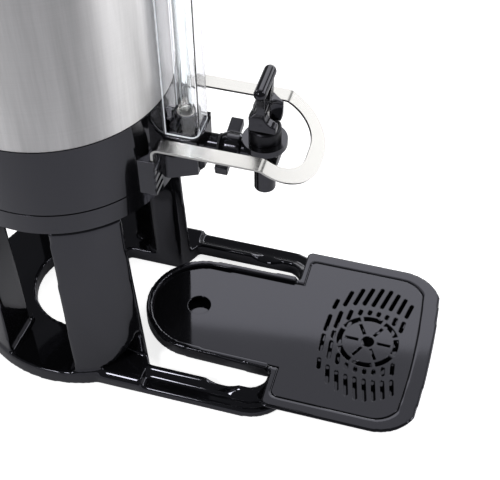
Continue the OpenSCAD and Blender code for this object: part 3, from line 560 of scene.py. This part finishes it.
def bent_strip():
    """One strip of sheet: back tab, arm, loop, arm and back tab."""
    half = STRIP["width"] / 2
    hook_length = STRIP_HOOK["radius"] * math.radians(STRIP_HOOK["angle"])
    fold_turn = math.radians(STRIP_FOLD["angle"])
    fold_start = STRIP_FOLD["reach"] - STRIP_FOLD["radius"] * math.tan(fold_turn / 2)
    fold_length = STRIP_FOLD["radius"] * fold_turn
    rows = BEND_ROWS
    deselect()
    bpy.ops.mesh.primitive_plane_add(size=1, location=at(0, 0, 0))
    obj = bake_place(bpy.context.object)
    mesh = edit(obj)
    back = STRIP_HOOK["reach"] - hook_length - STRIP_HOOK["tab"]
    # the plane becomes the first stretch of the right arm
    for vert in mesh.verts:
        side = STRIP["side"] + (half if vert.co.x > AXIS.x else -half)
        reach = back if vert.co.y > AXIS.y else back + STRIP_HOOK["tab"]
        vert.co = at(side, -reach, STRIP["top"])
    bmesh.update_edit_mesh(obj.data)
    stops = [
        STRIP_HOOK["reach"] - hook_length * (1 - i / rows) for i in range(1, rows + 1)
    ]
    stops += ARM_ROWS
    stops += [fold_start + fold_length * i / rows for i in range(rows + 1)]
    stops = [stop for stop in stops if stop < STRIP_LOOP["reach"]] + [STRIP_LOOP["reach"]]

    def front_edge(reach):
        line = AXIS.y - reach * MM
        choose(obj, lambda co: co.x > AXIS.x and abs(co.y - line) < SAME_POINT)

    last = back + STRIP_HOOK["tab"]
    for stop in stops:
        front_edge(last)
        bpy.ops.mesh.extrude_region_move(
            TRANSFORM_OT_translate={"value": (0, -(stop - last) * MM, 0)}
        )
        last = stop
    front_edge(last)
    bpy.ops.mesh.spin(
        steps=STRIP_LOOP["steps"],
        angle=math.pi / 2,
        center=at(STRIP_LOOP["centre"], -STRIP_LOOP["reach"], STRIP["top"]),
        axis=(0, 0, 1),
    )
    bpy.ops.mesh.extrude_region_move(
        TRANSFORM_OT_translate={"value": (-STRIP_LOOP["centre"] * MM, 0, 0)}
    )
    bpy.ops.object.mode_set(mode="OBJECT")
    middle = bpy.data.objects.new("strip_middle", None)
    middle.matrix_world = Matrix.Translation(AXIS)
    bpy.context.scene.collection.objects.link(middle)
    apply_modifier(
        obj, "MIRROR", mirror_object=middle, use_axis=(True, False, False),
        merge_threshold=SAME_POINT,
    )
    bpy.data.objects.remove(middle, do_unlink=True)
    edit(obj)
    bend_rows(obj, fold_start, fold_length / rows, rows, STRIP_FOLD["angle"], 1)
    bend_rows(
        obj, STRIP_HOOK["reach"], hook_length / rows, rows, -STRIP_HOOK["angle"], -1
    )
    bpy.ops.mesh.select_all(action="SELECT")
    bpy.ops.mesh.normals_make_consistent(inside=False)
    bpy.ops.object.mode_set(mode="OBJECT")
    up = sum(face.normal.z for face in obj.data.polygons)
    apply_modifier(
        obj, "SOLIDIFY", thickness=STRIP["thick"] * MM, offset=-1 if up > 0 else 1
    )
    return soften(obj, 0, weighted=False)


dress(bent_strip(), "guard_strip", "base", "bright_steel", strap_steel, "guard_strap")

# ---- gauge shield: clear cover whose cut edges carry a painted glow ------------------


def edged_shield():
    """The clear cover, with a pale glowing material painted as a highlight on its back
    edges and its bottom edge.
    """
    obj = rounded_copy("gauge_shield")
    low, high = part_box("gauge_shield")
    rim = 0.8 * MM
    edit(obj)
    for place, normal in (
        ((0, high.y - rim, 0), (0, 1, 0)),
        ((0, 0, low.z + rim), (0, 0, 1)),
    ):
        bpy.ops.mesh.select_all(action="SELECT")
        bpy.ops.mesh.bisect(plane_co=place, plane_no=normal)
    bpy.ops.object.mode_set(mode="OBJECT")
    soften(obj, 0.3)
    dress(obj, "clear_shield", "base", "clear_plastic", clear_plastic, "gauge_shield")
    obj.data.materials.append(cut_edge)
    # faces along the back and bottom edges get the painted edge glow
    for face in obj.data.polygons:
        if face.center.y > high.y - rim or face.center.z < low.z + rim:
            face.material_index = 1


edged_shield()

# ---- tap handle: clevis, scooped front, two posts and a round bar --------------------

# millimetres from the urn's axis and the counter
PIN_Y, PIN_Z = -186, 291
SCOOP = {"centre": (1.5, PIN_Y - 15, PIN_Z + 5), "radii": (9.6, 12.5, 12)}
TOE = {"centre": (-8, PIN_Y - 13.5, PIN_Z + 8), "radius": 10.5, "length": 24}
PLUG = {"side": 12.3, "radius": 2.4, "length": 1.7}
QUARTER = math.radians(90)


def scooped_handle():
    """The solid's fork and posts, hollowed in front like a spoon."""
    obj = rounded_copy("tap_handle")
    deselect()
    bpy.ops.mesh.primitive_uv_sphere_add(segments=40, ring_count=24, radius=1)
    scoop = bpy.context.object
    scoop.location = at(*SCOOP["centre"])
    scoop.scale = [radius * MM for radius in SCOOP["radii"]]
    combine(obj, bake_place(scoop), "DIFFERENCE")
    # the near cheek's front edge is hollowed down to a toe
    deselect()
    bpy.ops.mesh.primitive_cylinder_add(
        vertices=64, radius=TOE["radius"] * MM, depth=TOE["length"] * MM,
        location=at(*TOE["centre"]), rotation=(0, QUARTER, 0),
    )
    combine(obj, bake_place(bpy.context.object), "DIFFERENCE")
    # the pin's ends are hidden behind plugs
    for side in (-PLUG["side"], PLUG["side"]):
        deselect()
        bpy.ops.mesh.primitive_cylinder_add(
            vertices=32, radius=PLUG["radius"] * MM, depth=PLUG["length"] * MM,
            location=at(side, PIN_Y, PIN_Z), rotation=(0, QUARTER, 0),
        )
        combine(obj, bake_place(bpy.context.object), "UNION")
    return melt(obj, 0.42, 10)


dress(scooped_handle(), "lift_handle", "handle", "black_plastic", black_tap, "tap_handle")

# ---- CAD nodes that show as they are -------------------------------------------------

KEPT = {
    "stand_feet": rubber,
    "ring_screws": small_steel,
    "collar_screws": small_steel,
    "inner_vessel": body_steel,
    "outlet_pipe": small_steel,
    "outlet_seal": rubber,
    "mouth_gasket": rubber,
    "bail_pins": small_steel,
    "lid_seal": silicone,
    "fill_tube": black_satin,
    "housing_screws": small_steel,
    "sight_tube": glass,
    "tube_seal": silicone,
    "tap_shank": black_tap,
    "shank_washer": rubber,
    "seat_cup": silicone,
    "tap_stem": small_steel,
    "tap_spring": small_steel,
    "handle_pin": small_steel,
}
for node, material in KEPT.items():
    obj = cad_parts[node]
    obj.data.materials.clear()
    obj.data.materials.append(material)
    pick(obj)
    bpy.ops.object.shade_smooth_by_angle(angle=SMOOTH_BELOW)

# ---- floor, light and camera ---------------------------------------------------------


def seen_straight(tree):
    """1 where the viewer looks at it, also through the clear cover, and else 0."""
    path = tree.nodes.new("ShaderNodeLightPath")
    either = add_node(tree, "Math", operation="MAXIMUM")
    tree.links.new(path.outputs["Is Camera Ray"], either.inputs[0])
    tree.links.new(path.outputs["Is Transmission Ray"], either.inputs[1])
    return either.outputs[0]


FLOOR_SIZE = 5
FLOOR_Z = -0.0002  # just under the feet, so that the two don't flicker
FLOOR_GLOW = 0.8
# in reflections the floor also glows to the urn's left, the most beyond to_x
REFLECTED_GLOW = {"from_x": -0.04, "to_x": -0.22, "most": 0.34}


def floor():
    """A pale lit table, which leaves hardly any shadow."""
    deselect()
    bpy.ops.mesh.primitive_plane_add(size=FLOOR_SIZE, location=(0, 0, FLOOR_Z))
    plane = bpy.context.object
    plane.name = "floor"
    material, tree, shader = new_material("pale_floor")
    skin = use_group(tree, MOULDED, Grain=40, Roughness=0.7, Spread=0.1)
    tree.links.new(skin.outputs["Roughness"], shader.inputs["Roughness"])
    set_inputs(
        shader, Base_Color=(0.8, 0.8, 0.8, 1), Emission_Color=(1, 1, 1, 1),
        Emission_Strength=FLOOR_GLOW,
    )
    # in reflections the floor is dimmer
    dim = tree.nodes.new("ShaderNodeBsdfDiffuse")
    set_inputs(dim, Color=(0.8, 0.8, 0.82, 1))
    place = add_node(tree, "TexCoord")
    side = add_node(tree, "SeparateXYZ")
    tree.links.new(place.outputs["Object"], side.inputs[0])
    near = add_node(
        tree, "MapRange", in_1=REFLECTED_GLOW["from_x"], in_2=REFLECTED_GLOW["to_x"],
        in_3=0, in_4=REFLECTED_GLOW["most"],
    )
    tree.links.new(side.outputs["X"], near.inputs[0])
    glow = tree.nodes.new("ShaderNodeEmission")
    set_inputs(glow, Color=(0.97, 0.97, 1, 1))
    tree.links.new(near.outputs[0], glow.inputs["Strength"])
    reflected = tree.nodes.new("ShaderNodeAddShader")
    tree.links.new(dim.outputs[0], reflected.inputs[0])
    tree.links.new(glow.outputs[0], reflected.inputs[1])
    mix = tree.nodes.new("ShaderNodeMixShader")
    tree.links.new(seen_straight(tree), mix.inputs[0])
    tree.links.new(reflected.outputs[0], mix.inputs[1])
    tree.links.new(shader.outputs[0], mix.inputs[2])
    tree.links.new(mix.outputs[0], tree.nodes["Material Output"].inputs["Surface"])
    plane.data.materials.append(material)


SHELL, STAND, HOUSING = "outer_shell_look", "stand_look", "tap_housing_look"
SOFTBOXES = [
    # name, place, size, radiance, the only pieces it lights, the pieces it leaves out
    ("far_side", (1.9, 0.25, 1.45), (1.5, 1.5), 1.6, (), (STAND, HOUSING)),
    ("far_side_wide", (2.0, 0.1, 2.5), (2.2, 2.2), 1.0, (), (STAND, HOUSING)),
    ("front", (1.4, -1.6, 1.0), (2.2, 0.9), 2.8, (), (HOUSING,)),
    ("front_right", (2.2, -0.5, 0.7), (1.2, 0.4), 7, (), (HOUSING,)),
    ("shell_front", (0.1, -2.1, 0.75), (2.0, 0.9), 8, (SHELL,), ()),
    ("shell_right", (2.0, -0.9, 0.75), (1.9, 0.9), 13, (SHELL,), ()),
    ("key", (0.6, -1.9, 2.1), (0.6, 0.5), 12, (), ()),
    ("left", (-1.7, 0.8, 2.0), (0.5, 0.5), 30, (), ()),
]
ROOM_STRENGTH = 0.16  # of the room that the pieces reflect


def softbox(name, place, aim, size, radiance, only, apart):
    """A rectangular light whose face is radiance times as bright as white paper.

    It lights only the pieces in only, or all but the pieces in apart.
    """
    light = bpy.data.lights.new(name, "AREA")
    light.shape = "RECTANGLE"
    light.size, light.size_y = size
    light.energy = radiance * math.pi * size[0] * size[1]
    obj = bpy.data.objects.new(name, light)
    obj.location = place
    obj.rotation_euler = (Vector(aim) - Vector(place)).to_track_quat("-Z", "Y").to_euler()
    bpy.context.scene.collection.objects.link(obj)
    if only or apart:
        lit = bpy.data.collections.new(name + "_lights")
        for piece in (*only, *apart):
            lit.objects.link(bpy.data.objects[piece])
        if apart:
            for link in lit.collection_objects:
                link.light_linking.link_state = "EXCLUDE"
        obj.light_linking.receiver_collection = lit


def studio():
    """White where the viewer looks, a dim room in reflections, and the softboxes."""
    world = bpy.data.worlds.new("studio")
    world.use_nodes = True
    tree = world.node_tree
    seen = tree.nodes["Background"]
    set_inputs(seen, Color=(1, 1, 1, 1), Strength=1.0)
    room = tree.nodes.new("ShaderNodeBackground")
    set_inputs(room, Color=(0.95, 0.97, 1, 1), Strength=ROOM_STRENGTH)
    mix = tree.nodes.new("ShaderNodeMixShader")
    tree.links.new(seen_straight(tree), mix.inputs[0])
    tree.links.new(room.outputs[0], mix.inputs[1])
    tree.links.new(seen.outputs[0], mix.inputs[2])
    tree.links.new(mix.outputs[0], tree.nodes["World Output"].inputs["Surface"])
    bpy.context.scene.world = world
    middle = AXIS + Vector((0, -0.1, 0.15))
    for name, place, size, radiance, only, apart in SOFTBOXES:
        softbox(name, place, middle, size, radiance, only, apart)


CAMERA_PLACE = (-637.2, -359.1, 878.2)  # millimetres from the urn's axis and the counter
CAMERA_TURN = (-73.63, 48.26, -0.75)  # azimuth, elevation and roll in degrees
SENSOR, LENS = 36, 78.3


def camera():
    """The view from the urn's left and above."""
    azimuth, elevation, roll = (math.radians(degrees) for degrees in CAMERA_TURN)
    back = Vector((
        math.sin(azimuth) * math.cos(elevation),
        -math.cos(azimuth) * math.cos(elevation),
        math.sin(elevation),
    ))
    across = Vector((0, 0, 1)).cross(back).normalized()
    up = back.cross(across)
    turned_across = across * math.cos(roll) + up * math.sin(roll)
    turned_up = up * math.cos(roll) - across * math.sin(roll)
    data = bpy.data.cameras.new("camera")
    data.sensor_width = SENSOR
    data.lens = LENS
    data.clip_start, data.clip_end = 0.05, 50
    obj = bpy.data.objects.new("camera", data)
    turn = Matrix((turned_across, turned_up, back)).transposed()
    obj.matrix_world = Matrix.Translation(at(*CAMERA_PLACE)) @ turn.to_4x4()
    bpy.context.scene.collection.objects.link(obj)
    bpy.context.scene.camera = obj


floor()
studio()
camera()
bpy.context.scene.view_settings.view_transform = "Standard"

bpy.context.view_layer.update()
